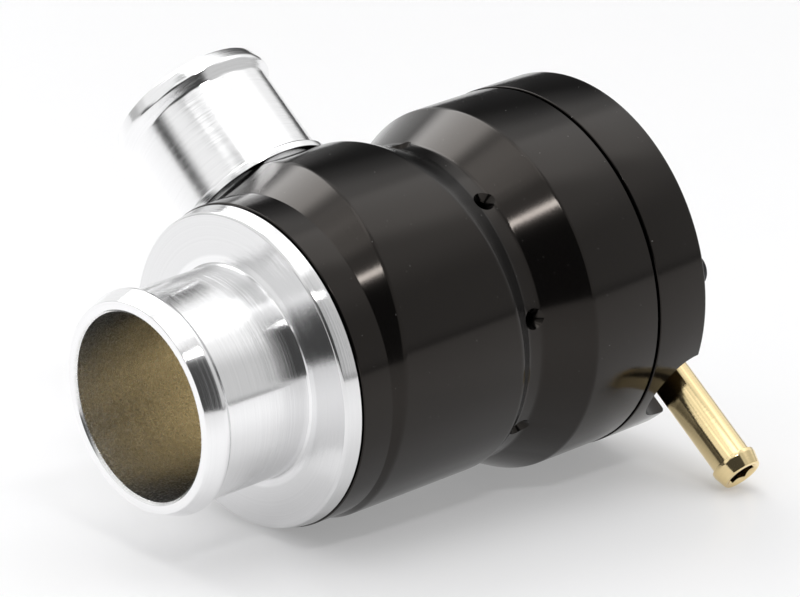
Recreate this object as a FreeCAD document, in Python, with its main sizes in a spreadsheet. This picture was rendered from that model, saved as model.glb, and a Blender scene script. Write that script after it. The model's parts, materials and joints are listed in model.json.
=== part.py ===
import FreeCAD, Part

import math
import os
import re

import Sketcher

# Blow off valve, lying on its side as it rests on a table, in millimetres.
# Each turned piece is drawn about its own axis. In the valve's own frame z runs along the main
# axis from the inlet's mouth to the cap, x points along the outlet, and the origin is the centre
# of the inlet's mouth. The finished valve is then laid down: +X along the main axis, +Z up, with
# the origin under the middle of the valve on the table.

SIZES = {
    "inlet_bore_radius": 14.8,
    "inlet_wall": 2.0,
    "inlet_mouth_wall": 1.4,
    "inlet_bead_rise": 0.9,
    "inlet_bead_length": 3.5,
    "inlet_bead_band": 0.6,
    "inlet_bead_back": 0.8,
    "inlet_length": 19.8,
    "flange_step": 0.2,
    "flange_taper": 0.5,
    "flange_thickness": 2.8,
    "edge_break": 0.3,
    "joint_line": 0.25,
    "socket_step": 2.5,
    "socket_depth": 5.15,
    "fit_clearance": 0.05,
    "band_step": 1.9,
    "band_length": 5.45,
    "front_cone_slope": 0.384,
    "barrel_step": 1.8,
    "barrel_offset": 1.37,
    "rear_cone_slope": 0.418,
    "neck_step": 0.1,
    "barrel_span": 27.9,
    "neck_length": 2.6,
    "flare_length": 8.0,
    "head_wall": 7.3,
    "spigot_length": 3.7,
    "seat_width": 2.2,
    "relief_step": 2.0,
    "relief_lead": 0.7,
    "head_bore_radius": 22.0,
    "head_bore_step": 1.2,
    "vent_radius": 1.7,
    "vent_count": 8,
    "vent_turn": -2.9,
    "outlet_shift": 0.4,
    "outlet_seat_depth": 2.57,
    "outlet_seat_margin": 0.8,
    "outlet_ring_lap": 1.0,
    "outlet_shoulder": 1.5,
    "outlet_port_step": 0.6,
    "outlet_bore_radius": 11.0,
    "outlet_ring_step": 1.0,
    "outlet_ring_thickness": 1.1,
    "outlet_wall": 1.5,
    "outlet_pipe_length": 15.5,
    "outlet_bead_rise": 1.0,
    "outlet_bead_back": 1.5,
    "outlet_bead_band": 0.6,
    "outlet_bead_length": 2.6,
    "outlet_mouth_rise": 0.3,
    "seal_squeeze": 0.02,
    "groove_land": 0.5,
    "groove_width": 1.7,
    "inlet_groove_depth": 1.5,
    "outlet_groove_depth": 1.0,
    "skirt_groove_depth": 1.4,
    "piston_groove_depth": 1.4,
    "cap_groove_depth": 1.4,
    "seat_ring_section": 0.55,
    "seat_ring_rise": 0.6,
    "running_clearance": 0.05,
    "piston_nose_thickness": 3.35,
    "piston_hollow_gap": 3.5,
    "piston_head_length": 4.2,
    "piston_head_gap": 0.3,
    "piston_travel": 11.0,
    "stop_gap": 0.4,
    "spring_boss_gap": 0.5,
    "spring_boss_height": 2.0,
    "spring_radius": 8.2,
    "spring_wire_radius": 0.8,
    "spring_turns": 10.5,
    "spring_end_gap": 0.02,
    "cup_margin": 0.8,
    "cup_thickness": 1.8,
    "spring_pocket_gap": 0.7,
    "cup_room": 2.1,
    "cap_rim_length": 10.0,
    "cap_joint_depth": 0.6,
    "cap_spigot_wall": 3.4,
    "cap_floor_place": 0.9,
    "hub_step": 10.0,
    "hub_height": 6.3,
    "hub_roof": 3.4,
    "boss_radius": 8.5,
    "boss_height": 6.6,
    "adjuster_bore_radius": 5.5,
    "adjuster_bore_depth": 4.5,
    "adjuster_thread_radius": 4.0,
    "adjuster_groove_depth": 1.3,
    "adjuster_groove_place": 1.1,
    "adjuster_end_gap": 0.3,
    "adjuster_recess": 0.5,
    "adjuster_key_radius": 2.3,
    "adjuster_key_depth": 3.5,
    "nipple_rise": 0.7,
    "channel_radius": 7.4,
    "nipple_flat_depth": 1.8,
    "nipple_thread_radius": 3.0,
    "signal_way_length": 1.5,
    "nipple_bore_radius": 1.5,
    "nipple_collar_radius": 5.2,
    "nipple_collar_thickness": 1.8,
    "washer_radius": 5.0,
    "washer_thickness": 0.9,
    "nipple_pipe_radius": 3.3,
    "nipple_pipe_length": 23.2,
    "nipple_bead_rise": 0.5,
    "nipple_bead_band": 0.6,
    "nipple_bead_length": 2.7,
    "nipple_key_radius": 2.3,
    "nipple_key_depth": 4.5,
    "screw_count": 4,
    "screw_radius": 1.5,
    "screw_length": 17.0,
    "screw_head_radius": 2.75,
    "screw_head_height": 2.0,
    "screw_key_radius": 1.44,
    "screw_key_depth": 1.3,
    "screw_hole_margin": 1.0,
}

# Places and lengths that follow from the driving sizes.
FORMULAS = {
    "inlet_pipe_radius": "inlet_bore_radius + inlet_wall",
    "inlet_mouth_radius": "inlet_bore_radius + inlet_mouth_wall",
    "inlet_bead_radius": "inlet_pipe_radius + inlet_bead_rise",
    "port_bore_radius": "inlet_bore_radius + seat_width",
    "socket_radius": "port_bore_radius + socket_step",
    "head_radius": "head_bore_radius + head_wall",
    "barrel_radius": "head_radius - barrel_step",
    "band_radius": "barrel_radius - band_step",
    "flange_radius": "band_radius - flange_step",
    "neck_radius": "band_radius - neck_step",
    "seat_ring_radius": "(inlet_bore_radius + port_bore_radius) / 2",
    "flange_back": "inlet_length + flange_thickness",
    "body_front": "flange_back + joint_line",
    "socket_floor": "body_front + socket_depth",
    "insert_radius": "socket_radius - fit_clearance",
    "inlet_groove_floor": "insert_radius - inlet_groove_depth",
    "inlet_groove_start": "flange_back + (socket_floor - flange_back - groove_width) / 2",
    "seat_ring_place": "socket_floor + seat_ring_rise - seat_ring_section",
    "seat_groove_floor": "seat_ring_place - seat_ring_section - seal_squeeze",
    "seat_groove_half": "seat_ring_section + fit_clearance",
    "crease": "body_front + band_length",
    "cone_reach": "barrel_radius + barrel_offset + head_wall",
    "neck_start": "crease + barrel_span",
    "neck_end": "neck_start + neck_length",
    "flare_end": "neck_end + flare_length",
    "head_end": "spigot_end + spigot_length",
    "relief_radius": "head_bore_radius - relief_step",
    "relief_start": "neck_start - relief_lead",
    "head_bore_start": "neck_end + head_bore_step",
    "skirt_groove_start": "relief_start - groove_land - groove_width",
    "vent_place": "neck_start + neck_length / 2",
    "outlet_place": "(crease + neck_start) / 2 - outlet_shift",
    "outlet_seat": "barrel_radius + barrel_offset - outlet_seat_depth",
    "outlet_hole_end": "port_bore_radius + outlet_shoulder",
    "outlet_pipe_radius": "outlet_bore_radius + outlet_wall",
    "outlet_ring_radius": "outlet_pipe_radius + outlet_ring_step",
    "outlet_bead_radius": "outlet_pipe_radius + outlet_bead_rise",
    "outlet_mouth_radius": "outlet_pipe_radius + outlet_mouth_rise",
    "outlet_hole_radius": "outlet_ring_radius - outlet_ring_lap",
    "outlet_port_radius": "outlet_bore_radius - outlet_port_step",
    "outlet_insert_radius": "outlet_hole_radius - fit_clearance",
    "outlet_insert_end": "outlet_hole_end + fit_clearance",
    "outlet_groove_floor": "outlet_insert_radius - outlet_groove_depth",
    "outlet_groove_start": "(outlet_seat + outlet_hole_end - groove_width) / 2",
    "outlet_ring_top": "outlet_seat + outlet_ring_thickness",
    "outlet_pipe_end": "outlet_ring_top + outlet_pipe_length",
    "outlet_bead_ridge": "outlet_pipe_end + outlet_bead_back",
    "outlet_mouth": "outlet_bead_ridge + outlet_bead_length",
    "piston_nose": "seat_ring_place + seat_ring_section + fit_clearance",
    "skirt_radius": "port_bore_radius - running_clearance",
    "piston_head_radius": "head_bore_radius - running_clearance",
    "piston_head_start": "head_bore_start + piston_head_gap",
    "piston_head_end": "piston_head_start + piston_head_length",
    "piston_groove_floor": "piston_head_radius - piston_groove_depth",
    "piston_groove_start": "piston_head_start + (piston_head_length - groove_width) / 2",
    "piston_floor": "piston_nose + piston_nose_thickness",
    "spigot_end": "piston_head_end + piston_travel + stop_gap",
    "spring_boss_radius": "spring_radius - spring_wire_radius - spring_boss_gap",
    "cup_radius": "spring_radius + spring_wire_radius + cup_margin",
    "spring_pocket_radius": "cup_radius + spring_pocket_gap",
    "piston_hollow_radius": "spring_radius + spring_wire_radius + piston_hollow_gap",
    "spigot_radius": "head_bore_radius - fit_clearance",
    "spigot_bore_radius": "spigot_radius - cap_spigot_wall",
    "cap_groove_floor": "spigot_radius - cap_groove_depth",
    "cap_groove_start": "spigot_end + (head_end - spigot_end - groove_width) / 2",
    "cap_floor": "head_end + cap_floor_place",
    "rim_back": "head_end + cap_rim_length",
    "hub_radius": "head_radius - hub_step",
    "hub_top": "rim_back + hub_height",
    "pocket_top": "hub_top - hub_roof",
    "boss_top": "hub_top + boss_height",
    "adjuster_bore_top": "pocket_top + adjuster_bore_depth",
    "adjuster_head_end": "adjuster_bore_top - adjuster_end_gap",
    "adjuster_head_radius": "adjuster_bore_radius - running_clearance",
    "adjuster_screw_radius": "adjuster_thread_radius - running_clearance",
    "adjuster_groove_floor": "adjuster_head_radius - adjuster_groove_depth",
    "adjuster_groove_end": "adjuster_head_end - adjuster_groove_place + groove_width / 2",
    "adjuster_top": "boss_top - adjuster_recess",
    "cup_top": "pocket_top - cup_room",
    "cup_floor": "cup_top - cup_thickness",
    "nipple_place": "rim_back + nipple_rise",
    "nipple_flat": "hub_radius - nipple_flat_depth",
    "nipple_thread_length": "nipple_flat - spring_pocket_radius - signal_way_length",
    "nipple_seat": "nipple_flat + washer_thickness",
    "nipple_collar_top": "nipple_seat + nipple_collar_thickness",
    "nipple_pipe_end": "nipple_collar_top + nipple_pipe_length",
    "nipple_tip": "nipple_pipe_end + nipple_bead_length",
    "nipple_bead_radius": "nipple_pipe_radius + nipple_bead_rise",
    "screw_circle_radius": "(head_bore_radius + head_radius) / 2",
    "screw_hole_depth": "screw_length - cap_rim_length + screw_hole_margin",
}

SCREW_PLACE = ("screw_circle_radius * cos(180 / screw_count)", "screw_circle_radius * sin(180 / screw_count)")

doc = FreeCAD.newDocument("blow_off_valve")
sheet = doc.addObject("Spreadsheet::Sheet", "sizes")
for row, (name, size) in enumerate(SIZES.items(), start=1):
    sheet.set(f"A{row}", str(size))
    sheet.setAlias(f"A{row}", name)
doc.recompute()


def bound(formula):
    """The formula with each size written as a cell of the sheet and each place spelled out."""
    def spell(word):
        name = word.group(0)
        if name in SIZES:
            return "sizes." + name
        if name in FORMULAS:
            return "(" + bound(FORMULAS[name]) + ")"
        return name
    return re.sub(r"[a-z]\w*", spell, formula)


def value(formula):
    return float(sheet.evalExpression(bound(formula)))


def plane(body, role):
    return next(feature for feature in body.Origin.OriginFeatures if feature.Role == role)


def new_body(label):
    body = doc.addObject("PartDesign::Body", label)
    body.Label = label
    return body


def new_sketch(body, name, role="XZ_Plane", across="0", along="0", lift="0"):
    """A sketch on one of the body's origin planes, shifted in the plane and lifted off it."""
    sketch = body.newObject("Sketcher::SketchObject", name)
    sketch.AttachmentSupport = [(plane(body, role), "")]
    sketch.MapMode = "FlatFace"
    for letter, shift in (("x", across), ("y", along), ("z", lift)):
        if shift != "0":
            sketch.setExpression("AttachmentOffset.Base." + letter, bound(shift))
    return sketch


def place_point(sketch, edge, end, formulas):
    """Ties one point of a sketch to its two formulas, or to an axis where one of them is 0."""
    for kind, axis, formula in (("DistanceX", -2, formulas[0]), ("DistanceY", -1, formulas[1])):
        if formula == "0":
            sketch.addConstraint(Sketcher.Constraint("PointOnObject", edge, end, axis))
        else:
            size = value(formula)
            number = sketch.addConstraint(Sketcher.Constraint(kind, -1, 1, edge, end, size))
            sketch.setExpression(f"Constraints[{number}]", bound(formula))


def draw_outline(sketch, corners):
    """A closed outline of straight edges through corners given as pairs of formulas."""
    points = [FreeCAD.Vector(value(first), value(second), 0) for first, second in corners]
    for start, end in zip(points, points[1:] + points[:1]):
        sketch.addGeometry(Part.LineSegment(start, end))
    for edge, corner in enumerate(corners):
        after = (edge + 1) % len(corners)
        sketch.addConstraint(Sketcher.Constraint("Coincident", edge, 2, after, 1))
        place_point(sketch, edge, 1, corner)


def draw_circle(sketch, centre, radius):
    middle = FreeCAD.Vector(value(centre[0]), value(centre[1]), 0)
    edge = sketch.addGeometry(Part.Circle(middle, FreeCAD.Vector(0, 0, 1), value(radius)))
    place_point(sketch, edge, 3, centre)
    number = sketch.addConstraint(Sketcher.Constraint("Radius", edge, value(radius)))
    sketch.setExpression(f"Constraints[{number}]", bound(radius))


def draw_hexagon(sketch, centre, radius):
    """A regular hexagon with its corners on a construction circle."""
    middle = FreeCAD.Vector(value(centre[0]), value(centre[1]), 0)
    reach = value(radius)
    corners = []
    for step in range(6):
        angle = math.radians(60 * step)
        corners.append(middle + FreeCAD.Vector(reach * math.cos(angle), reach * math.sin(angle), 0))
    for start, end in zip(corners, corners[1:] + corners[:1]):
        sketch.addGeometry(Part.LineSegment(start, end))
    ring = sketch.addGeometry(Part.Circle(middle, FreeCAD.Vector(0, 0, 1), reach), True)
    for edge in range(6):
        sketch.addConstraint(Sketcher.Constraint("Coincident", edge, 2, (edge + 1) % 6, 1))
        sketch.addConstraint(Sketcher.Constraint("PointOnObject", edge, 1, ring))
    for edge in range(5):
        sketch.addConstraint(Sketcher.Constraint("Equal", edge, edge + 1))
    place_point(sketch, ring, 3, centre)
    sketch.addConstraint(Sketcher.Constraint("Horizontal", 1))
    number = sketch.addConstraint(Sketcher.Constraint("Radius", ring, reach))
    sketch.setExpression(f"Constraints[{number}]", bound(radius))


def feature_on(body, kind, name, sketch, axis=None):
    feature = body.newObject("PartDesign::" + kind, name)
    feature.Profile = sketch
    if axis:
        feature.ReferenceAxis = (sketch, [axis])
    sketch.Visibility = False
    return feature


def turned(body, name, outline, kind="Revolution"):
    """Turns an outline of (radius, place) corners about the body's own axis."""
    sketch = new_sketch(body, name + "_outline")
    draw_outline(sketch, outline)
    return feature_on(body, kind, name, sketch, "V_Axis")


def sunk(body, name, sketch, depth, reverse=False):
    """Cuts a sketch into the body, and stops if nothing was cut."""
    doc.recompute()
    before = body.Shape.Volume
    pocket = feature_on(body, "Pocket", name, sketch)
    pocket.setExpression("Length", bound(depth))
    pocket.Reversed = reverse
    doc.recompute()
    if body.Shape.Volume > before - 0.01:
        raise SystemExit(f"{name} cuts nothing out of {body.Label}")
    return pocket


def ring_pattern(body, name, feature, count):
    pattern = body.newObject("PartDesign::PolarPattern", name)
    pattern.Originals = [feature]
    pattern.Axis = (plane(body, "Z_Axis"), [""])
    pattern.Angle = 360
    pattern.setExpression("Occurrences", bound(count))
    body.Tip = pattern
    return pattern


def seal(label, inner, outer, place):
    """An O-ring that fills the room between two radii, short of both by the squeeze."""
    body = new_body(label)
    sketch = new_sketch(body, label + "_section")
    draw_circle(sketch, (f"({inner} + {outer}) / 2", place), f"({outer} - {inner}) / 2 - seal_squeeze")
    feature_on(body, "Revolution", label + "_ring", sketch, "V_Axis")
    return body


def inlet_spigot():
    """Hose bead, pipe and flange in one piece, with an insert that fits the body's socket."""
    body = new_body("inlet_spigot")
    turned(body, "inlet_turned", [
        ("inlet_bore_radius + edge_break / 2", "0"),
        ("inlet_mouth_radius", "0"),
        ("inlet_bead_radius", "inlet_bead_length - inlet_bead_band"),
        ("inlet_bead_radius", "inlet_bead_length"),
        ("inlet_pipe_radius", "inlet_bead_length + inlet_bead_back"),
        ("inlet_pipe_radius", "inlet_length - edge_break"),
        ("inlet_pipe_radius + edge_break", "inlet_length"),
        ("flange_radius - flange_taper - edge_break", "inlet_length"),
        ("flange_radius - flange_taper", "inlet_length + edge_break"),
        ("flange_radius", "flange_back - edge_break / 2"),
        ("flange_radius - edge_break / 2", "flange_back"),
        ("insert_radius", "flange_back"),
        ("insert_radius", "inlet_groove_start"),
        ("inlet_groove_floor", "inlet_groove_start"),
        ("inlet_groove_floor", "inlet_groove_start + groove_width"),
        ("insert_radius", "inlet_groove_start + groove_width"),
        ("insert_radius", "socket_floor"),
        ("seat_ring_radius + seat_groove_half", "socket_floor"),
        ("seat_ring_radius + seat_groove_half", "seat_groove_floor"),
        ("seat_ring_radius - seat_groove_half", "seat_groove_floor"),
        ("seat_ring_radius - seat_groove_half", "socket_floor"),
        ("inlet_bore_radius", "socket_floor"),
        ("inlet_bore_radius", "edge_break / 2"),
    ])
    return body


def seat_o_ring():
    body = new_body("seat_o_ring")
    sketch = new_sketch(body, "seat_o_ring_section")
    draw_circle(sketch, ("seat_ring_radius", "seat_ring_place"), "seat_ring_section")
    feature_on(body, "Revolution", "seat_o_ring_ring", sketch, "V_Axis")
    return body


def barrel(body):
    """The off-centre barrel, trimmed by one cone in front and one behind on the main axis."""
    circle = new_sketch(body, "barrel_circle", "XY_Plane", lift="crease")
    draw_circle(circle, ("barrel_offset", "0"), "barrel_radius")
    pad = feature_on(body, "Pad", "barrel_pad", circle)
    pad.setExpression("Length", bound("neck_start - crease"))
    turned(body, "barrel_front", [
        ("band_radius", "crease"),
        ("cone_reach", "crease"),
        ("cone_reach", "crease + (cone_reach - band_radius) / front_cone_slope"),
    ], "Groove")
    turned(body, "barrel_rear", [
        ("neck_radius", "neck_start"),
        ("cone_reach", "neck_start"),
        ("cone_reach", "neck_start - (cone_reach - neck_radius) / rear_cone_slope"),
    ], "Groove")


def valve_body():
    """The black body: barrel, neck and head around the piston's two bores."""
    body = new_body("valve_body")
    barrel(body)
    turned(body, "body_core", [
        ("0", "body_front"),
        ("band_radius - edge_break / 2", "body_front"),
        ("band_radius", "body_front + edge_break / 2"),
        ("band_radius", "crease"),
        ("neck_radius", "crease"),
        ("neck_radius", "neck_end"),
        ("head_radius", "flare_end"),
        ("head_radius", "head_end"),
        ("0", "head_end"),
    ])
    turned(body, "body_bores", [
        ("0", "body_front"),
        ("socket_radius", "body_front"),
        ("socket_radius", "socket_floor"),
        ("port_bore_radius", "socket_floor"),
        ("port_bore_radius", "skirt_groove_start"),
        ("port_bore_radius + skirt_groove_depth", "skirt_groove_start"),
        ("port_bore_radius + skirt_groove_depth", "skirt_groove_start + groove_width"),
        ("port_bore_radius", "skirt_groove_start + groove_width"),
        ("port_bore_radius", "relief_start"),
        ("relief_radius", "relief_start"),
        ("relief_radius", "head_bore_start"),
        ("head_bore_radius", "head_bore_start"),
        ("head_bore_radius", "head_end"),
        ("0", "head_end"),
    ], "Groove")
    seat = new_sketch(body, "outlet_seat_circle", "YZ_Plane", along="outlet_place", lift="outlet_seat")
    draw_circle(seat, ("0", "0"), "outlet_ring_radius + outlet_seat_margin")
    sunk(body, "outlet_seat_face", seat, "cone_reach", reverse=True)
    hole = new_sketch(body, "outlet_hole_circle", "YZ_Plane", along="outlet_place", lift="outlet_seat")
    draw_circle(hole, ("0", "0"), "outlet_hole_radius")
    sunk(body, "outlet_hole", hole, "outlet_seat - outlet_hole_end")
    port = new_sketch(body, "outlet_port_circle", "YZ_Plane", along="outlet_place", lift="outlet_hole_end")
    draw_circle(port, ("0", "0"), "outlet_port_radius")
    sunk(body, "outlet_port", port, "outlet_hole_end")
    vent = new_sketch(body, "vent_circle", "YZ_Plane", along="vent_place")
    vent.AttachmentOffset = FreeCAD.Placement(vent.AttachmentOffset.Base,
                                              FreeCAD.Rotation(FreeCAD.Vector(0, 1, 0), 1))
    vent.setExpression("AttachmentOffset.Rotation.Angle", bound("vent_turn"))
    draw_circle(vent, ("0", "0"), "vent_radius")
    vent_cut = sunk(body, "vent_hole", vent, "head_radius", reverse=True)
    ring_pattern(body, "vent_holes", vent_cut, "vent_count")
    screw = new_sketch(body, "screw_circle", "XY_Plane", lift="head_end")
    draw_circle(screw, SCREW_PLACE, "screw_radius")
    screw_cut = sunk(body, "screw_hole", screw, "screw_hole_depth")
    ring_pattern(body, "screw_holes", screw_cut, "screw_count")
    return body


def outlet_spigot():
    """Side pipe with a seat ring, an insert for the body's hole and a hose bead."""
    body = new_body("outlet_spigot")
    turned(body, "outlet_turned", [
        ("outlet_port_radius", "outlet_insert_end"),
        ("outlet_insert_radius", "outlet_insert_end"),
        ("outlet_insert_radius", "outlet_groove_start"),
        ("outlet_groove_floor", "outlet_groove_start"),
        ("outlet_groove_floor", "outlet_groove_start + groove_width"),
        ("outlet_insert_radius", "outlet_groove_start + groove_width"),
        ("outlet_insert_radius", "outlet_seat"),
        ("outlet_ring_radius", "outlet_seat"),
        ("outlet_ring_radius", "outlet_ring_top - edge_break"),
        ("outlet_ring_radius - edge_break", "outlet_ring_top"),
        ("outlet_pipe_radius", "outlet_ring_top"),
        ("outlet_pipe_radius", "outlet_pipe_end"),
        ("outlet_bead_radius", "outlet_bead_ridge"),
        ("outlet_bead_radius", "outlet_bead_ridge + outlet_bead_band"),
        ("outlet_mouth_radius", "outlet_mouth"),
        ("outlet_bore_radius + edge_break / 2", "outlet_mouth"),
        ("outlet_bore_radius", "outlet_mouth - edge_break / 2"),
        ("outlet_bore_radius", "outlet_ring_top"),
        ("outlet_port_radius", "outlet_seat"),
    ])
    return body


def piston():
    """Closed nose, skirt that covers the side port, and a wide head with a seal groove."""
    body = new_body("piston")
    turned(body, "piston_turned", [
        ("0", "piston_nose"),
        ("skirt_radius - edge_break", "piston_nose"),
        ("skirt_radius", "piston_nose + edge_break"),
        ("skirt_radius", "piston_head_start"),
        ("piston_head_radius", "piston_head_start"),
        ("piston_head_radius", "piston_groove_start"),
        ("piston_groove_floor", "piston_groove_start"),
        ("piston_groove_floor", "piston_groove_start + groove_width"),
        ("piston_head_radius", "piston_groove_start + groove_width"),
        ("piston_head_radius", "piston_head_end"),
        ("piston_hollow_radius", "piston_head_end"),
        ("piston_hollow_radius", "piston_floor"),
        ("spring_boss_radius", "piston_floor"),
        ("spring_boss_radius", "piston_floor + spring_boss_height"),
        ("0", "piston_floor + spring_boss_height"),
    ])
    return body


def spring():
    """Compression spring between the piston's floor and the cup."""
    body = new_body("spring")
    lowest = "piston_floor + spring_end_gap + spring_wire_radius"
    highest = "cup_floor - spring_end_gap - spring_wire_radius"
    sketch = new_sketch(body, "spring_wire", along=lowest)
    draw_circle(sketch, ("spring_radius", "0"), "spring_wire_radius")
    coil = feature_on(body, "AdditiveHelix", "spring_coil", sketch, "V_Axis")
    coil.Mode = "height-turns-angle"
    coil.setExpression("Height", bound(f"({highest}) - ({lowest})"))
    coil.setExpression("Turns", bound("spring_turns"))
    return body


def spring_cup():
    """Disc on the cap's end of the spring, with a boss that centres the coils."""
    body = new_body("spring_cup")
    turned(body, "spring_cup_turned", [
        ("0", "cup_floor - spring_boss_height"),
        ("spring_boss_radius", "cup_floor - spring_boss_height"),
        ("spring_boss_radius", "cup_floor"),
        ("cup_radius", "cup_floor"),
        ("cup_radius", "cup_top - edge_break"),
        ("cup_radius - edge_break", "cup_top"),
        ("0", "cup_top"),
    ])
    return body


def adjuster_screw():
    """Screw with a sealed head inside the cap and a hexagon socket outside."""
    body = new_body("adjuster_screw")
    turned(body, "adjuster_turned", [
        ("0", "cup_top + spring_end_gap"),
        ("adjuster_head_radius", "cup_top + spring_end_gap"),
        ("adjuster_head_radius", "adjuster_groove_end - groove_width"),
        ("adjuster_groove_floor", "adjuster_groove_end - groove_width"),
        ("adjuster_groove_floor", "adjuster_groove_end"),
        ("adjuster_head_radius", "adjuster_groove_end"),
        ("adjuster_head_radius", "adjuster_head_end"),
        ("adjuster_screw_radius", "adjuster_head_end"),
        ("adjuster_screw_radius", "adjuster_top - edge_break"),
        ("adjuster_screw_radius - edge_break", "adjuster_top"),
        ("0", "adjuster_top"),
    ])
    key = new_sketch(body, "adjuster_hexagon", "XY_Plane", lift="adjuster_top")
    draw_hexagon(key, ("0", "0"), "adjuster_key_radius")
    sunk(body, "adjuster_key", key, "adjuster_key_depth")
    return body


def cap():
    """Black end cap: spigot, rim, hub for the hose nipple and boss for the adjuster."""
    body = new_body("cap")
    turned(body, "cap_turned", [
        ("spigot_bore_radius", "spigot_end"),
        ("spigot_radius", "spigot_end"),
        ("spigot_radius", "cap_groove_start"),
        ("cap_groove_floor", "cap_groove_start"),
        ("cap_groove_floor", "cap_groove_start + groove_width"),
        ("spigot_radius", "cap_groove_start + groove_width"),
        ("spigot_radius", "head_end"),
        ("head_radius - cap_joint_depth", "head_end"),
        ("head_radius - cap_joint_depth", "head_end + joint_line"),
        ("head_radius", "head_end + joint_line"),
        ("head_radius", "rim_back - edge_break"),
        ("head_radius - edge_break", "rim_back"),
        ("hub_radius", "rim_back"),
        ("hub_radius", "hub_top - edge_break"),
        ("hub_radius - edge_break", "hub_top"),
        ("boss_radius", "hub_top"),
        ("boss_radius", "boss_top - edge_break"),
        ("boss_radius - edge_break", "boss_top"),
        ("adjuster_thread_radius", "boss_top"),
        ("adjuster_thread_radius", "adjuster_bore_top"),
        ("adjuster_bore_radius", "adjuster_bore_top"),
        ("adjuster_bore_radius", "pocket_top"),
        ("spring_pocket_radius", "pocket_top"),
        ("spring_pocket_radius", "cap_floor"),
        ("spigot_bore_radius", "cap_floor"),
    ])
    channel = new_sketch(body, "channel_circle", "YZ_Plane", along="nipple_place", lift="-nipple_flat")
    draw_circle(channel, ("0", "0"), "channel_radius")
    sunk(body, "hose_channel", channel, "head_radius")
    thread = new_sketch(body, "thread_circle", "YZ_Plane", along="nipple_place", lift="-nipple_flat")
    draw_circle(thread, ("0", "0"), "nipple_thread_radius + running_clearance")
    sunk(body, "nipple_hole", thread, "nipple_thread_length + edge_break", reverse=True)
    way = new_sketch(body, "way_circle", "YZ_Plane", along="nipple_place", lift="-nipple_flat")
    draw_circle(way, ("0", "0"), "nipple_bore_radius")
    sunk(body, "signal_way", way, "nipple_flat", reverse=True)
    screw = new_sketch(body, "cap_screw_circle", "XY_Plane", lift="head_end")
    draw_circle(screw, SCREW_PLACE, "screw_radius + fit_clearance")
    screw_cut = sunk(body, "cap_screw_hole", screw, "cap_rim_length", reverse=True)
    ring_pattern(body, "cap_screw_holes", screw_cut, "screw_count")
    return body


def hose_nipple():
    """Brass nipple: threaded end, collar, pipe, and a bead with a key socket in its end."""
    body = new_body("hose_nipple")
    turned(body, "nipple_turned", [
        ("nipple_bore_radius", "nipple_flat - nipple_thread_length"),
        ("nipple_thread_radius", "nipple_flat - nipple_thread_length"),
        ("nipple_thread_radius", "nipple_seat"),
        ("nipple_collar_radius", "nipple_seat"),
        ("nipple_collar_radius", "nipple_collar_top - edge_break"),
        ("nipple_collar_radius - edge_break", "nipple_collar_top"),
        ("nipple_pipe_radius", "nipple_collar_top"),
        ("nipple_pipe_radius", "nipple_pipe_end"),
        ("nipple_bead_radius", "nipple_pipe_end"),
        ("nipple_bead_radius", "nipple_pipe_end + nipple_bead_band"),
        ("nipple_pipe_radius", "nipple_tip - edge_break / 2"),
        ("nipple_pipe_radius - edge_break / 2", "nipple_tip"),
        ("nipple_bore_radius", "nipple_tip"),
    ])
    key = new_sketch(body, "nipple_hexagon", "XY_Plane", lift="nipple_tip")
    draw_hexagon(key, ("0", "0"), "nipple_key_radius")
    sunk(body, "nipple_key", key, "nipple_key_depth")
    return body


def nipple_washer():
    body = new_body("nipple_washer")
    turned(body, "washer_turned", [
        ("nipple_thread_radius + fit_clearance", "nipple_flat"),
        ("washer_radius", "nipple_flat"),
        ("washer_radius", "nipple_seat"),
        ("nipple_thread_radius + fit_clearance", "nipple_seat"),
    ])
    return body


def cap_screw(number):
    """Socket head screw, drawn with the underside of its head at 0."""
    body = new_body(f"cap_screw_{number}")
    shank = new_sketch(body, f"shank_circle_{number}", "XY_Plane")
    draw_circle(shank, ("0", "0"), "screw_radius")
    shank_pad = feature_on(body, "Pad", f"shank_{number}", shank)
    shank_pad.setExpression("Length", bound("screw_length"))
    shank_pad.Reversed = True
    turned(body, f"screw_head_{number}", [
        ("0", "0"),
        ("screw_head_radius", "0"),
        ("screw_head_radius", "screw_head_height - edge_break / 2"),
        ("screw_head_radius - edge_break / 2", "screw_head_height"),
        ("0", "screw_head_height"),
    ])
    key = new_sketch(body, f"screw_hexagon_{number}", "XY_Plane", lift="screw_head_height")
    draw_hexagon(key, ("0", "0"), "screw_key_radius")
    sunk(body, f"screw_key_{number}", key, "screw_key_depth")
    return body


def resting_turn():
    """How the valve lies: on the front rim of its head, a rim further forward and the nipple's tip."""
    reach = value("nipple_tip")
    tip = value("nipple_pipe_radius")
    rise = value("head_radius") / reach
    for step in range(6):
        spread = value("barrel_radius") ** 2 - value("barrel_offset") ** 2 * (1 - rise ** 2)
        low_radius = math.sqrt(spread) - value("barrel_offset") * rise
        low_place = value("crease") + (low_radius - value("band_radius")) / value("front_cone_slope")
        pitch = min(
            math.atan2(value("head_radius - flange_radius"), value("flare_end - flange_back")),
            math.atan2(value("head_radius") - low_radius, value("flare_end") - low_place))
        height = value("head_radius") * math.cos(pitch) + value("nipple_place - flare_end") * math.sin(pitch)
        root = math.sqrt(reach ** 2 + tip ** 2 - height ** 2)
        rise = (reach * height - tip * root) / (reach ** 2 + tip ** 2)
    main_axis = FreeCAD.Vector(math.cos(pitch), 0, math.sin(pitch))
    up_across = FreeCAD.Vector(-math.sin(pitch), 0, math.cos(pitch))
    upward = rise / math.cos(pitch)
    outlet_axis = FreeCAD.Vector(0, math.sqrt(1 - upward ** 2), 0) + up_across * upward
    across = main_axis.cross(outlet_axis)
    return FreeCAD.Placement(FreeCAD.Matrix(
        outlet_axis.x, across.x, main_axis.x, 0,
        outlet_axis.y, across.y, main_axis.y, 0,
        outlet_axis.z, across.z, main_axis.z, 0,
        0, 0, 0, 1))


def placed(body, place):
    body.Placement = place
    return body


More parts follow.
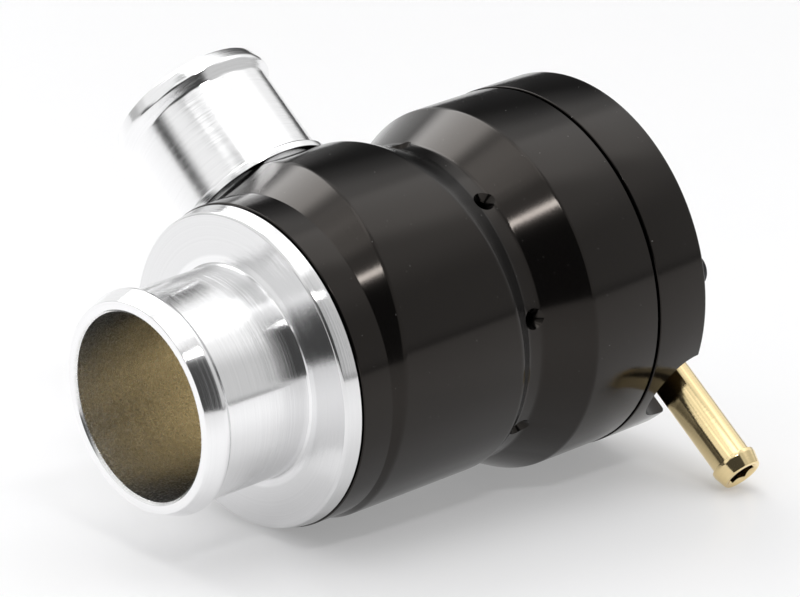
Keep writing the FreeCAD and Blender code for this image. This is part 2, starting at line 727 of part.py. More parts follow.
def build():
    """Makes every sub-part in the valve's frame and returns them."""
    straight = FreeCAD.Placement()
    outlet = FreeCAD.Placement(
        FreeCAD.Vector(0, 0, value("outlet_place")), FreeCAD.Rotation(FreeCAD.Vector(0, 1, 0), 90))
    nipple = FreeCAD.Placement(
        FreeCAD.Vector(0, 0, value("nipple_place")), FreeCAD.Rotation(FreeCAD.Vector(0, 1, 0), -90))
    parts = [
        placed(inlet_spigot(), straight),
        placed(seal("inlet_o_ring", "inlet_groove_floor", "socket_radius",
                    "inlet_groove_start + groove_width / 2"), straight),
        placed(seat_o_ring(), straight),
        placed(valve_body(), straight),
        placed(outlet_spigot(), outlet),
        placed(seal("outlet_o_ring", "outlet_groove_floor", "outlet_hole_radius",
                    "outlet_groove_start + groove_width / 2"), outlet),
        placed(piston(), straight),
        placed(seal("piston_o_ring", "piston_groove_floor", "head_bore_radius",
                    "piston_groove_start + groove_width / 2"), straight),
        placed(seal("skirt_o_ring", "skirt_radius", "port_bore_radius + skirt_groove_depth",
                    "skirt_groove_start + groove_width / 2"), straight),
        placed(spring(), straight),
        placed(spring_cup(), straight),
        placed(adjuster_screw(), straight),
        placed(seal("adjuster_o_ring", "adjuster_groove_floor", "adjuster_bore_radius",
                    "adjuster_groove_end - groove_width / 2"), straight),
        placed(cap(), straight),
        placed(seal("cap_o_ring", "cap_groove_floor", "head_bore_radius",
                    "cap_groove_start + groove_width / 2"), straight),
        placed(hose_nipple(), nipple),
        placed(nipple_washer(), nipple),
    ]
    count = int(value("screw_count"))
    first = math.degrees(math.atan2(value(SCREW_PLACE[1]), value(SCREW_PLACE[0])))
    for number in range(count):
        turn = FreeCAD.Rotation(FreeCAD.Vector(0, 0, 1), first + 360 * number / count)
        spot = turn.multVec(FreeCAD.Vector(value("screw_circle_radius"), 0, value("rim_back")))
        parts.append(placed(cap_screw(number + 1), FreeCAD.Placement(spot, turn)))
    return parts


def lay_down(parts):
    """Turns the valve to its resting pose and stands it on z = 0 over the origin."""
    turn = resting_turn()
    for part in parts:
        part.Placement = turn.multiply(part.Placement)
    doc.recompute()
    box = Part.makeCompound([part.Shape for part in parts]).optimalBoundingBox(False, False)
    shift = FreeCAD.Vector(-box.Center.x, -box.Center.y, -box.ZMin)
    for part in parts:
        part.Placement = FreeCAD.Placement(shift, FreeCAD.Rotation()).multiply(part.Placement)
    doc.recompute()


def check(parts):
    failed = [item.Name for item in doc.Objects if {"Invalid", "Error"} & set(item.State)]
    failed += [part.Label for part in parts if part.Shape.isNull() or not part.Shape.isValid()]
    if failed:
        raise SystemExit("failed: " + ", ".join(failed))


def main():
    parts = build()
    doc.recompute()
    check(parts)
    lay_down(parts)
    check(parts)
    os.makedirs("parts", exist_ok=True)
    for part in parts:
        part.Shape.exportStep(f"parts/{part.Label}.step")
        print(f"{part.Label}: {part.Shape.Volume:.0f} mm3, {len(part.Shape.Solids)} solid")


main()
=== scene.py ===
import json
import math
from collections import namedtuple

import bpy
import numpy as np
from mathutils import Matrix, Vector


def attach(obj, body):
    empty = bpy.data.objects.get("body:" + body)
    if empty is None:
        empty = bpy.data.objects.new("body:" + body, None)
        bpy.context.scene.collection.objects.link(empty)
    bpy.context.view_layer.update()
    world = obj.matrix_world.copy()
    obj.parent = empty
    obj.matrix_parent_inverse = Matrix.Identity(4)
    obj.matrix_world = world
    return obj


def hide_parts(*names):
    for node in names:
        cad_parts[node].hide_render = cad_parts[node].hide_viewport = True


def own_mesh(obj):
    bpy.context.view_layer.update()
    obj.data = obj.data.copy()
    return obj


bl_info = {
    "name": "Blow off valve",
    "version": (1, 0, 0),
    "blender": (4, 5, 0),
    "location": "3D View > Sidebar > Valve",
    "description": "Builds a piston blow off valve on its packed frame, with its finishes, lights and camera",
    "category": "Object",
}

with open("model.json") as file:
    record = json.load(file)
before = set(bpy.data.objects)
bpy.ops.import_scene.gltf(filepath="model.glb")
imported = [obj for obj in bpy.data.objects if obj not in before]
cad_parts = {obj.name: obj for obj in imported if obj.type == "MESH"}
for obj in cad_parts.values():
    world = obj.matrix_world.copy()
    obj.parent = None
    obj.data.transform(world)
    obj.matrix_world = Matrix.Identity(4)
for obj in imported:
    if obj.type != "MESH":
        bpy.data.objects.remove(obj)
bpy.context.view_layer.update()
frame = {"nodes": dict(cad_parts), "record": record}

# An axis through the valve. Angles around it start at its second direction, `across`.
Axis = namedtuple("Axis", "origin along across")


def mount(name):
    return next(entry for entry in frame["record"]["mounts"] if entry["name"] == name)


MAIN_ALONG = -np.array(mount("inlet_hose")["axis"])
OUTLET_ALONG = np.array(mount("outlet_hose")["axis"])
# The inlet's mount lies this far behind the valve's mouth, where places along the main axis start.
BEAD_PLACE = 0.0032
MOUTH = np.array(mount("inlet_hose")["pos_m"]) - BEAD_PLACE * MAIN_ALONG
MAIN = Axis(MOUTH, MAIN_ALONG, OUTLET_ALONG)

# Points around a large turned piece, and the angle past which an edge stays sharp in the shading.
COLUMNS = 360
SHARP_EDGE = math.radians(18)

# What several pieces share, in metres: the gap around a piece in its bore, how far a cutter reaches past the
# face that it opens, the width of an O-ring's groove, how far the outlet's ring stands out past its socket,
# and the radii of the nipple's thread, of the cap screws' thread and of their heads.
FIT = 0.00005
OVERCUT = 0.001
GROOVE_WIDTH = 0.0017
OUTLET_SHOULDER = 0.001
NIPPLE_THREAD = 0.003
SCREW_THREAD = 0.0015
SCREW_HEAD = 0.00275
CAP_SCREWS = 4


def side_axis(place, along):
    """An axis that crosses the main axis at a place along it."""
    return Axis(MOUTH + place * MAIN_ALONG, along, MAIN_ALONG)


def side_of(axis):
    """The direction a quarter turn around the axis from `across`."""
    return np.cross(axis.along, axis.across)


def out_at(degrees):
    """The direction out of the main axis at an angle around it, which starts at the outlet."""
    turn = math.radians(degrees)
    return math.cos(turn) * MAIN.across + math.sin(turn) * side_of(MAIN)


def length(name, description, default):
    return bpy.props.FloatProperty(name=name, description=description, default=default, unit="LENGTH",
                                   precision=5)


def share(name, description, default):
    return bpy.props.FloatProperty(name=name, description=description, default=default, min=0, max=1,
                                   subtype="FACTOR")


def colour(name, description, default):
    return bpy.props.FloatVectorProperty(name=name, description=description, default=default, size=3,
                                         min=0, max=1, subtype="COLOR")


class InletSizes(bpy.types.PropertyGroup):
    bore: length("Bore", "Radius of the inlet's bore", 0.0148)
    lip: length("Lip", "Outer radius of the flat lip around the mouth", 0.01655)
    bead: length("Bead", "Radius of the hose bead", 0.0177)
    pipe: length("Pipe", "Radius of the plain pipe", 0.0168)
    pipe_end: length("Pipe end", "Place of the flange's front face", 0.0198)
    flange: length("Flange", "Radius of the flange", 0.0254)
    flange_back: length("Flange back", "Place of the flange's back face", 0.0226)
    insert: length("Insert", "Radius of the end inside the body", 0.01945)
    insert_end: length("Insert end", "Place where that end stops", 0.028)


class BodySizes(bpy.types.PropertyGroup):
    front: length("Front", "Place of the body's front face", 0.02285)
    band: length("Band", "Radius of the band behind the flange", 0.0256)
    crease: length("Crease", "Place where the band turns into the front cone", 0.0283)
    barrel: length("Barrel", "Radius of the barrel", 0.0275)
    offset: length("Barrel offset", "How far the barrel lies off the main axis, towards the outlet", 0.00137)
    neck: length("Neck", "Radius of the neck", 0.0255)
    neck_start: length("Neck start", "Place where the rear cone meets the neck", 0.0562)
    neck_end: length("Neck end", "Place where the flare starts", 0.0588)
    flare_end: length("Flare end", "Place where the flare meets the head", 0.0668)
    head: length("Head", "Radius of the head", 0.0293)
    back: length("Back", "Place of the joint with the cap", 0.0796)
    port: length("Port bore", "Radius of the bore that the piston's skirt runs in", 0.017)
    relief: length("Relief", "Radius of the chamber behind the vents", 0.02)
    head_bore: length("Head bore", "Radius of the bore that the piston's head runs in", 0.022)
    vent: length("Vent", "Radius of a vent hole", 0.0017)
    vent_place: length("Vent place", "Place of the vent holes", 0.0575)


class OutletSizes(bpy.types.PropertyGroup):
    place: length("Place", "Place of the outlet along the main axis", 0.04185)
    seat: length("Seat", "Distance of the outlet's flat from the main axis", 0.0263)
    bore: length("Bore", "Radius of the outlet's bore", 0.011)
    port: length("Port", "Radius of the hole in the body's wall", 0.0104)
    ring: length("Ring", "Radius of the ring on the flat", 0.0135)
    pipe: length("Pipe", "Radius of the plain pipe", 0.0125)
    bead: length("Bead", "Radius of the hose bead", 0.0135)
    pipe_end: length("Pipe end", "Distance from the main axis at which the bead starts", 0.0429)
    mouth: length("Mouth", "Distance of the outlet's mouth from the main axis", 0.047)


class CapSizes(bpy.types.PropertyGroup):
    rim: length("Rim", "Radius of the rim", 0.02943)
    back: length("Rim back", "Place of the rim's back face", 0.0901)
    screw_seat: length("Screw seat", "Place where the heads of the cap screws sit", 0.0896)
    hub: length("Hub", "Radius of the hub", 0.0193)
    hub_back: length("Hub back", "Place of the hub's back face", 0.0959)
    boss: length("Boss", "Radius of the boss around the adjuster", 0.0085)
    boss_back: length("Boss back", "Place of the boss's back face", 0.1025)
    channel: length("Channel", "Radius of the channel that the hose nipple stands in", 0.0073)
    channel_place: length("Channel place", "Place of the channel's middle along the main axis", 0.0898)
    channel_shift: length("Channel shift", "How far the channel's middle lies beside the nipple", 0.0016)
    channel_floor: length("Channel floor", "Distance of the channel's floor from the main axis", 0.0175)
    screw_ring: length("Screw ring", "Radius of the circle that the cap screws stand on", 0.02565)


class NippleSizes(bpy.types.PropertyGroup):
    place: length("Place", "Place of the hose nipple along the main axis", 0.0903)
    collar: length("Collar", "Radius of the collar", 0.0052)
    pipe: length("Pipe", "Radius of the plain pipe", 0.0033)
    bead: length("Bead", "Radius of the end bead", 0.0038)
    tip: length("Tip", "Distance of the nipple's tip from the main axis", 0.0461)
    key: length("Key socket", "Corner radius of the key socket", 0.0024)


class Finishes(bpy.types.PropertyGroup):
    black: colour("Black", "Colour of the anodised body and cap", (0.0022, 0.002, 0.002))
    aluminium: colour("Aluminium", "Colour of the bare spigots", (0.91, 0.91, 0.915))
    brass: colour("Brass", "Colour of the hose nipple", (0.92, 0.74, 0.41))
    piston: colour("Piston", "Colour of the brass piston", (0.76, 0.57, 0.27))
    copper: colour("Copper", "Colour of the washer under the nipple", (0.78, 0.42, 0.28))
    steel: colour("Steel", "Colour of the spring, its cup and the adjuster", (0.52, 0.52, 0.54))
    marks: share("Turning marks", "How strongly the lathe's marks show", 0.5)
    floor: colour("Floor", "Colour of the floor", (0.93, 0.928, 0.935))


class StudioSizes(bpy.types.PropertyGroup):
    lens: bpy.props.FloatProperty(name="Lens", description="Focal length of the camera", default=0.225,
                                  unit="LENGTH")
    level: bpy.props.FloatProperty(name="Light level", description="Brightness of the room around the valve",
                                   default=0.9, min=0)
    floor_reach: length("Floor reach", "Half the width of the floor", 4.0)
    glow: share("Floor glow", "Share of plain white in the floor as the camera and reflections see it", 0.3)


class ValveSettings(bpy.types.PropertyGroup):
    inlet: bpy.props.PointerProperty(name="Inlet", description="Sizes of the inlet spigot", type=InletSizes)
    body: bpy.props.PointerProperty(name="Body", description="Sizes of the valve body", type=BodySizes)
    outlet: bpy.props.PointerProperty(name="Outlet", description="Sizes of the outlet spigot",
                                      type=OutletSizes)
    cap: bpy.props.PointerProperty(name="Cap", description="Sizes of the cap", type=CapSizes)
    nipple: bpy.props.PointerProperty(name="Hose nipple", description="Sizes of the nipple", type=NippleSizes)
    finishes: bpy.props.PointerProperty(name="Finishes", description="Colours and marks", type=Finishes)
    studio: bpy.props.PointerProperty(name="Studio", description="Camera, room and floor", type=StudioSizes)


# Surfaces


def rounded(corners, reach, closed):
    """Swaps each corner C of a profile for the parabola (1-t)^2 A + 2t(1-t) C + t^2 B, where A and B lie
    on its two edges, `reach` from C and at most 0.45 of the edge away. Corners are an array of profile
    corner x column x (radius, place), and so is the result, without rows that repeat the one before."""
    longest_share, shortest_run, same_place, points_per_arc = 0.45, 1e-12, 1e-8, 5
    before = np.roll(corners, 1, axis=0) - corners
    after = np.roll(corners, -1, axis=0) - corners
    if not closed:
        before[0] = 0
        after[-1] = 0
    ends = []
    for edge in (before, after):
        run = np.linalg.norm(edge, axis=2, keepdims=True)
        taken = np.minimum(reach[:, None, None], longest_share * run)
        ends.append(corners + edge * taken / np.maximum(run, shortest_run))
    start, end = (points[:, None] for points in ends)
    steps = np.linspace(0, 1, points_per_arc)[None, :, None, None]
    arcs = (1 - steps) ** 2 * start + 2 * steps * (1 - steps) * corners[:, None] + steps ** 2 * end
    rows = arcs.reshape(-1, *corners.shape[1:])
    moved = np.abs(rows - np.roll(rows, 1, axis=0)).max(axis=(1, 2)) > same_place
    return rows[moved]


def turned_points(axis, profile, angle):
    """Carries a profile around an axis:
    P = origin + along * place + radius * (cos(angle) across + sin(angle) side)."""
    radius, place = profile[..., 0, None], profile[..., 1, None]
    around = np.cos(angle)[:, None] * axis.across + np.sin(angle)[:, None] * side_of(axis)
    return axis.origin + place * axis.along + radius * around


def grid_faces(rows, columns, closed):
    """Quads between neighbouring rows and columns. Columns always join up, rows only on a closed profile."""
    row = np.arange(rows if closed else rows - 1)[:, None]
    column = np.arange(columns)[None, :]
    next_row, next_column = (row + 1) % rows, (column + 1) % columns
    corners = (row * columns + column, row * columns + next_column,
               next_row * columns + next_column, next_row * columns + column)
    return np.stack(np.broadcast_arrays(*corners), axis=-1).reshape(-1, 4)


def grid_ends(rows, columns):
    """The two faces that close a grid, over its first and its last row."""
    first_row = np.arange(columns)
    return [first_row[::-1], (rows - 1) * columns + first_row]


def six_volumes(points, faces):
    """Six times the volume inside quads a b c d, below 0 where they face inwards: the sum of
    a . (b x c) + a . (c x d)."""
    a, b, c, d = (points[faces[:, corner]] for corner in range(4))
    return np.einsum("ij,ij->i", a, np.cross(b, c)).sum() + np.einsum("ij,ij->i", a, np.cross(c, d)).sum()


def new_piece(name, points, faces):
    mesh = bpy.data.meshes.new(name)
    mesh.from_pydata(points.reshape(-1, 3).tolist(), [], faces)
    mesh.validate()
    piece = bpy.data.objects.new(name, mesh)
    bpy.context.scene.collection.objects.link(piece)
    return piece


def turn_piece(name, axis, profile, closed=True, columns=COLUMNS, first_angle=0.0):
    """Turns a solid from corners (radius, place), or (radius, place, reach) where a corner is rounded. The
    profile is closed into a ring, or else ended by two flat faces. A radius or a place may be an array over
    the columns. Faces that would look inwards are turned round."""
    corners = np.stack([np.stack(np.broadcast_arrays(*corner[:2], np.zeros(columns))[:2], axis=-1)
                        for corner in profile])
    reach = np.array([corner[2] if len(corner) > 2 else 0.0 for corner in profile])
    rows = rounded(corners, reach, closed)
    angle = first_angle + 2 * math.pi * np.arange(columns) / columns
    points = turned_points(axis, rows, angle)
    faces = grid_faces(len(rows), columns, closed)
    if closed:
        ends = []
        inwards = six_volumes(points.reshape(-1, 3) - axis.origin, faces) < 0
    else:
        ends = grid_ends(len(rows), columns)
        inwards = rows[-1, 0, 1] < rows[0, 0, 1]
    if inwards:
        faces = faces[:, ::-1]
        ends = [end[::-1] for end in ends]
    return new_piece(name, points, faces.tolist() + [end.tolist() for end in ends])


def ring_groove(radius, start, width, depth):
    """The corners of an O-ring's groove. A negative width runs back, and a negative depth widens a bore."""
    return [
        (radius, start),
        (radius - depth, start),
        (radius - depth, start + width),
        (radius, start + width),
    ]


def cut(piece, *cutters):
    """Takes the cutters' solids out of a piece with exact Booleans, and removes the cutters."""
    for cutter in cutters:
        boolean = piece.modifiers.new("cut", "BOOLEAN")
        boolean.solver = "EXACT"
        boolean.object = cutter
    depsgraph = bpy.context.evaluated_depsgraph_get()
    result = bpy.data.meshes.new_from_object(piece.evaluated_get(depsgraph))
    whole = piece.data
    piece.modifiers.clear()
    piece.data = result
    result.name = piece.name
    bpy.data.meshes.remove(whole)
    for cutter in cutters:
        mesh = cutter.data
        bpy.data.objects.remove(cutter)
        bpy.data.meshes.remove(mesh)


def finish_piece(piece, material, body, nodes):
    """Gives the piece its material, smooths the shading between sharp edges, sets it on its body and hides
    the CAD parts that it stands for.
    """
    piece.data.materials.clear()
    piece.data.materials.append(material)
    piece.data.shade_smooth()
    piece.data.set_sharp_from_angle(angle=SHARP_EDGE)
    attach(piece, body)
    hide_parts(*nodes)


# Finishes


class Wire:
    """One socket of a material's nodes. Its arithmetic adds Math or Vector Math nodes."""

    def __init__(self, tree, socket):
        self.tree = tree
        self.socket = socket

    def node(self, kind, settings=None, inputs=None, output=0):
        """Adds a node of any kind: its settings are set first, then its sockets' values or links."""
        made = self.tree.nodes.new("ShaderNode" + kind)
        for name, setting in (settings or {}).items():
            setattr(made, name, setting)
        for name, value in (inputs or {}).items():
            if isinstance(value, Wire):
                self.tree.links.new(value.socket, made.inputs[name])
            else:
                made.inputs[name].default_value = value
        return Wire(self.tree, made.outputs[output])

    def is_vector(self):
        return self.socket.type in ("VECTOR", "RGBA")

    def math(self, operation, *values):
        """Math on numbers, Vector Math where any of the values is a vector."""
        values = (self,) + values
        vectors = [value.is_vector() if isinstance(value, Wire) else isinstance(value, tuple)
                   for value in values]
        if not any(vectors):
            return self.node("Math", {"operation": operation}, dict(enumerate(values)))
        spread = [value if isinstance(value, (Wire, tuple)) else (value, value, value) for value in values]
        output = 1 if operation in ("DOT_PRODUCT", "LENGTH") else 0
        return self.node("VectorMath", {"operation": operation}, dict(enumerate(spread)), output)

    def scaled(self, factor):
        return self.node("VectorMath", {"operation": "SCALE"}, {0: self, "Scale": factor})

    def __add__(self, other):
        return self.math("ADD", other)

    def __radd__(self, other):
        return self.math("ADD", other)

    def __sub__(self, other):
        return self.math("SUBTRACT", other)

    def __rsub__(self, other):
        return self.math("MULTIPLY", -1.0).math("ADD", other)

    def __mul__(self, other):
        return self.math("MULTIPLY", other)

    def __rmul__(self, other):
        return self.math("MULTIPLY", other)

    def smooth(self, low, high, start=0.0, end=1.0):
        """Goes smoothly from start to end while the value goes from low to high."""
        return self.node("MapRange", {"interpolation_type": "SMOOTHSTEP"},
                         {"Value": self, "From Min": low, "From Max": high, "To Min": start, "To Max": end})

    def blend(self, first, second):
        """Mixes two colours by this number. The Mix node's colours are its sockets 6 and 7, and output 2."""
        return self.node("Mix", {"data_type": "RGBA"}, {0: self, 6: first, 7: second}, 2)

    def noise(self, scale, detail):
        """3D noise on a vector, 1D noise on a number."""
        if self.is_vector():
            return self.node("TexNoise", {}, {"Vector": self, "Scale": scale, "Detail": detail})
        return self.node("TexNoise", {"noise_dimensions": "1D"},
                         {"W": self, "Scale": scale, "Detail": detail})


def new_material(name):
    """An empty material with a Principled shader, and the wire of its object coordinates."""
    material = bpy.data.materials.new(name)
    material.use_nodes = True
    shader = material.node_tree.nodes["Principled BSDF"]
    object_output = 3
    spot = Wire(material.node_tree, None).node("TexCoord", output=object_output)
    return material, shader, spot


def feed(shader, **inputs):
    """Sets a shader's sockets by name, with underscores for the spaces, to constants or wires."""
    tree = shader.id_data
    for name, value in inputs.items():
        socket = shader.inputs[name.replace("_", " ")]
        if isinstance(value, Wire):
            tree.links.new(value.socket, socket)
        else:
            socket.default_value = value


def rgba(tint, brightness=1.0):
    return (*(brightness * value for value in tint), 1.0)


# A spot on a turned surface: its distance from the axis, the same plus its place along the axis, which
# changes across the tool's marks, and the direction around the axis.
Lathe = namedtuple("Lathe", "radius travel around")


def lathe(coordinates, axis):
    """With v from the axis's origin: place = v . along, radius = |v - place along|, travel = place + radius,
    and around = (v - place along) x along, at length 1."""
    origin, along = tuple(axis.origin), tuple(axis.along)
    spot = coordinates - origin
    place = spot.math("DOT_PRODUCT", along)
    ones = coordinates.node("CombineXYZ", {}, {0: 1.0, 1: 1.0, 2: 1.0})
    off_axis = spot - ones.scaled(place) * along
    radius = off_axis.math("LENGTH")
    around = off_axis.math("CROSS_PRODUCT", along).math("NORMALIZE")
    return Lathe(radius, place + radius, around)


def turned_normal(turned, smear, marks):
    """The surface's normal N tilted across the tool's marks:
    N + (N x around) * (smear * n1 + marks * (n2 + n3)). n1 is a noise of the travel too fine to see, which
    smears reflections across the marks, and n2 and n3 are the marks that can be seen."""
    normal_output = 1
    normal = turned.travel.node("NewGeometry", output=normal_output)
    across = normal.math("CROSS_PRODUCT", turned.around)
    unseen, fine, broad = 30000.0, 6000.0, 1800.0
    tilt = (turned.travel.noise(unseen, 0.0) - 0.5) * smear
    tilt = tilt + (turned.travel.noise(fine, 1.0) + turned.travel.noise(broad, 1.0) - 1.0) * marks
    return (normal + across.scaled(tilt)).math("NORMALIZE")


def black_anodised(name, axis, finishes):
    """Satin black with faint marks, a cloudy gloss and a few specks of dust."""
    material, shader, spot = new_material(name)
    speck_scale, speck_level, speck_edge = 2600.0, 0.865, 0.02
    specks = spot.noise(speck_scale, 0.0).smooth(speck_level, speck_level + speck_edge)
    dust = (0.10, 0.098, 0.095, 1.0)
    cloud = spot.noise(180.0, 3.0)
    feed(shader, Base_Color=specks.blend(rgba(finishes.black), dust), IOR=1.395,
         Specular_Tint=(1.0, 0.9, 0.82, 1.0), Roughness=0.11 + 0.04 * cloud + 0.3 * specks,
         Normal=turned_normal(lathe(spot, axis), 0.16 * finishes.marks, 0.012 * finishes.marks))
    return material


def bare_aluminium(name, axis, bore, finishes):
    """Bright turned aluminium, duller and rougher inside the bore. The flange is darker: painted shade for
    its dim reflection.
    """
    material, shader, spot = new_material(name)
    turned = lathe(spot, axis)
    inside = turned.radius.smooth(bore + 0.0001, bore + 0.0005, 1.0, 0.0)
    grain = spot.noise(2500.0, 3.0)
    dull = grain.smooth(0.3, 0.7).blend((0.70, 0.70, 0.69, 1.0), (0.88, 0.88, 0.87, 1.0))
    bright = turned.travel.noise(3000.0, 2.0).blend(rgba(finishes.aluminium, 0.93), rgba(finishes.aluminium))
    # Painted shade: out on the flange the colour is darkened to stand in for the darker reflection that the
    # flange face shows.
    flange_foot, flange_face, flange_painted_shade = 0.0178, 0.0186, 0.87
    flange = turned.radius.smooth(flange_foot, flange_face, 1.0, flange_painted_shade)
    rough = 0.07 + 0.08 * turned.travel.noise(9000.0, 1.0) + (0.05 + 0.2 * grain) * inside
    feed(shader, Base_Color=inside.blend(bright.scaled(flange), dull), Metallic=1.0, Roughness=rough,
         Normal=turned_normal(turned, 0.80 * finishes.marks, 0.07 * finishes.marks))
    return material


def turned_metal(name, axis, tint, marks, rough):
    """A bright turned metal: brass, copper or steel."""
    material, shader, spot = new_material(name)
    turned = lathe(spot, axis)
    lines = turned.travel.noise(4000.0, 2.0)
    feed(shader, Base_Color=lines.blend(rgba(tint, 0.92), rgba(tint)), Metallic=1.0,
         Roughness=rough + 0.04 * lines, Normal=turned_normal(turned, 0.16 * marks, 0.04 * marks))
    return material


def drawn_wire(name, tint):
    """The spring's wire, cloudy from drawing."""
    material, shader, spot = new_material(name)
    grain = spot.noise(3000.0, 2.0)
    feed(shader, Base_Color=grain.blend(rgba(tint, 0.7), rgba(tint)), Metallic=1.0,
         Roughness=0.28 + 0.1 * grain)
    return material


def black_steel(name, axis):
    """The cap screws' oxide black."""
    material, shader, spot = new_material(name)
    grain = spot.noise(2500.0, 2.0)
    feed(shader, Base_Color=grain.blend((0.012, 0.012, 0.013, 1), (0.03, 0.03, 0.032, 1)), Metallic=0.6,
         Roughness=0.3 + 0.1 * grain, Normal=turned_normal(lathe(spot, axis), 0.05, 0.02))
    return material


def seal_rubber(name):
    """The matt rubber of the O-rings."""
    material, shader, spot = new_material(name)
    grain = spot.noise(4000.0, 3.0)
    feed(shader, Base_Color=grain.blend((0.010, 0.010, 0.010, 1), (0.022, 0.022, 0.023, 1)),
         Roughness=0.5 + 0.2 * grain)
    return material


# Operators. Each names the group of settings that the sidebar lists under it.


class VALVE_OT_inlet(bpy.types.Operator):
    """Turns the bare inlet spigot: bead, pipe, flange and the end inside the body"""
    bl_idname = "valve.inlet"
    bl_label = "Inlet spigot"
    group = "inlet"

    def execute(self, context):
        valve = context.scene.blow_off_valve
        sizes = valve.inlet
        lip_place, mouth_chamfer = 0.00003, 0.00045
        bead_start, bead_end, bead_foot = 0.0029, 0.0035, 0.0043
        rim_slope, front_edge, back_edge = 0.0005, 0.0003, 0.00015
        groove_start, groove_depth = 0.02445, 0.0015
        seat_inner, seat_outer, seat_floor = 0.0153, 0.0165, 0.02748
        profile = [
            (sizes.bore + mouth_chamfer, lip_place, 0.0001),
            (sizes.lip, lip_place, 0.00015),
            (sizes.bead, bead_start, 0.0002),
            (sizes.bead, bead_end, 0.0002),
            (sizes.pipe, bead_foot, 0.0003),
            (sizes.pipe, sizes.pipe_end, 0.0006),
            (sizes.flange - rim_slope - front_edge, sizes.pipe_end, 0.0001),
            (sizes.flange - rim_slope, sizes.pipe_end + front_edge, 0.0001),
            (sizes.flange, sizes.flange_back - back_edge, 0.0001),
            (sizes.flange - back_edge, sizes.flange_back),
            (sizes.insert, sizes.flange_back),
            *ring_groove(sizes.insert, groove_start, GROOVE_WIDTH, groove_depth),
            (sizes.insert, sizes.insert_end),
            (seat_outer, sizes.insert_end),
            (seat_outer, seat_floor),
            (seat_inner, seat_floor),
            (seat_inner, sizes.insert_end),
            (sizes.bore, sizes.insert_end),
            (sizes.bore, mouth_chamfer, 0.0001),
        ]
        piece = turn_piece("inlet_spigot_turned", MAIN, profile)
        finish = bare_aluminium("bare_aluminium_inlet", MAIN, sizes.bore, valve.finishes)
        finish_piece(piece, finish, "housing", ["inlet_spigot"])
        return {"FINISHED"}


class VALVE_OT_body(bpy.types.Operator):
    """Turns the black body around its bores, and cuts its outlet seat, vents and screw holes"""
    bl_idname = "valve.body"
    bl_label = "Valve body"
    group = "body"

    def execute(self, context):
        valve = context.scene.blow_off_valve
        sizes, cap = valve.body, valve.cap
        piece = turn_piece("valve_body_turned", MAIN, self.profile(sizes))
        seat = self.seat_cutter(sizes, valve.outlet)
        # The vents stand evenly around, the first of them 2.9 degrees before the outlet.
        vents, first_vent = 8, -2.9
        vent_holes = [self.vent_cutter(sizes, first_vent + 360 / vents * number) for number in range(vents)]
        thread_end = 0.0716
        screw_holes = [screw_cutter(cap, number, SCREW_THREAD, thread_end, sizes.back + OVERCUT)
                       for number in range(CAP_SCREWS)]
        cut(piece, seat, *vent_holes, *screw_holes)
        finish = black_anodised("black_anodised_body", MAIN, valve.finishes)
        finish_piece(piece, finish, "housing", ["valve_body"])
        return {"FINISHED"}

    def profile(self, sizes):
        """The outside from front to back, then the bores from back to front. The barrel is an off-centre
        circle seen from the main axis: offset cos(angle) + sqrt(radius^2 - (offset sin(angle))^2)."""
        angle = 2 * math.pi * np.arange(COLUMNS) / COLUMNS
        sideways = sizes.offset * np.sin(angle)
        barrel = sizes.offset * np.cos(angle) + np.sqrt(sizes.barrel ** 2 - sideways ** 2)
        # How much the radius changes over a length along each cone.
        front_slope, rear_slope = 0.384, 0.418
        barrel_front = sizes.crease + (barrel - sizes.band) / front_slope
        barrel_back = sizes.neck_start - (barrel - sizes.neck) / rear_slope
        front_edge, back_edge = 0.00015, 0.0001
        relief_front, relief_back = 0.0555, 0.06
        groove_back, groove_depth = 0.055, 0.0014
        socket, socket_end = 0.0195, 0.028
        return [
            (sizes.band - front_edge, sizes.front),
            (sizes.band, sizes.front + front_edge, 0.00005),
            (sizes.band, sizes.crease, 0.0001),
            (barrel, barrel_front, 0.0005),
            (barrel, barrel_back, 0.0005),
            (sizes.neck, sizes.neck_start, 0.0004),
            (sizes.neck, sizes.neck_end, 0.0005),
            (sizes.head, sizes.flare_end, 0.0004),
            (sizes.head, sizes.back - back_edge, 0.00005),
            (sizes.head - back_edge, sizes.back),
            (sizes.head_bore, sizes.back),
            (sizes.head_bore, relief_back),
            (sizes.relief, relief_back),
            (sizes.relief, relief_front),
            (sizes.port, relief_front),
            *ring_groove(sizes.port, groove_back, -GROOVE_WIDTH, -groove_depth),
            (sizes.port, socket_end),
            (socket, socket_end),
            (socket, sizes.front),
        ]

    def seat_cutter(self, sizes, outlet):
        """The outlet's hole through the wall, its socket and the flat around it."""
        inner_end, outer_end = 0.008, 0.034
        socket, socket_floor = outlet.ring - OUTLET_SHOULDER, sizes.port + 0.0015
        flat = outlet.ring + 0.0008
        return turn_piece("outlet_seat", side_axis(outlet.place, OUTLET_ALONG), [
            (outlet.port, inner_end),
            (outlet.port, socket_floor),
            (socket, socket_floor),
            (socket, outlet.seat),
            (flat, outlet.seat),
            (flat, outer_end),
        ], closed=False, columns=180)

    def vent_cutter(self, sizes, degrees):
        """A vent hole, which widens from its throat to its mouth in a cone."""
        throat, mouth = sizes.vent - 0.0008, sizes.vent + 0.0006
        inner_end, cone_start, cone_end = 0.0185, sizes.neck - 0.0012, sizes.neck + 0.0009
        return turn_piece("vent", side_axis(sizes.vent_place, out_at(degrees)), [
            (throat, inner_end),
            (throat, cone_start),
            (mouth, cone_end),
        ], closed=False, columns=48, first_angle=0.01)


def screw_axis(cap, number):
    """The axis of a cap screw. The first stands 45 degrees around from the outlet."""
    out = out_at(45 + 360 / CAP_SCREWS * number)
    return Axis(MAIN.origin + cap.screw_ring * out, MAIN.along, out)


def screw_cutter(cap, number, radius, start, end):
    return turn_piece("screw_hole", screw_axis(cap, number), [(radius, start), (radius, end)],
                      closed=False, columns=32)


